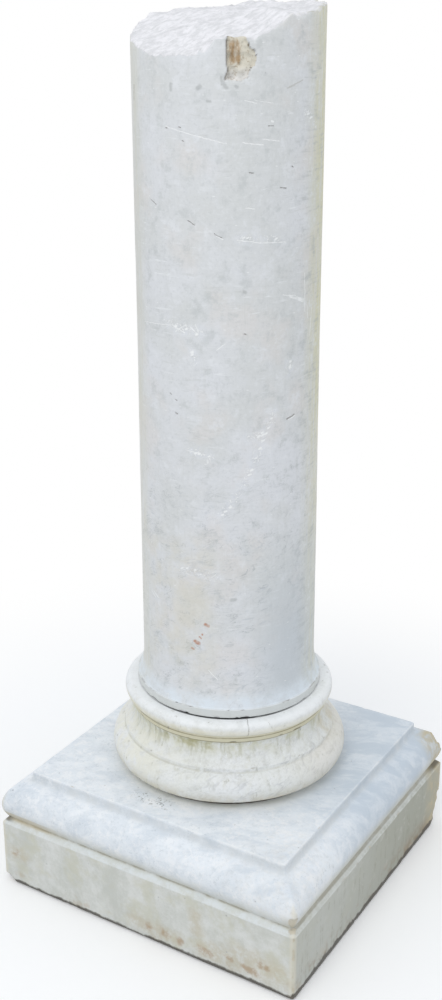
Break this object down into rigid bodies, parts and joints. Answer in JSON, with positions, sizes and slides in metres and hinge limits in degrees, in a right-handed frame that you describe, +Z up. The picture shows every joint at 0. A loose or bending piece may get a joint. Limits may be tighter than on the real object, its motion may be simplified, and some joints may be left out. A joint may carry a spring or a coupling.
{
  "type": "broken column on moulded base",
  "caption": "Broken marble column shaft on a round moulded base and a square plinth; stands by its own weight as a garden or gallery ornament.",
  "frame": {"origin": "centre of the square underside of the plinth, on the ground", "axes": "+Z up the column; the sides of the plinth face +X, -X, +Y and -Y; the broken top is lowest towards -Y"},
  "size_m": [0.6, 0.6, 1.5151],
  "materials": {
    "plinth_marble": "honed, weathered, brown-stained sides",
    "base_marble": "honed, weathered, ochre stains in the hollows",
    "shaft_marble": "smooth, weathered, scratched; rough where broken"
  },
  "bodies": {
    "root": {"plinth": "plinth_marble", "attic_base": "base_marble", "shaft": "shaft_marble"}
  },
  "joints": []
}
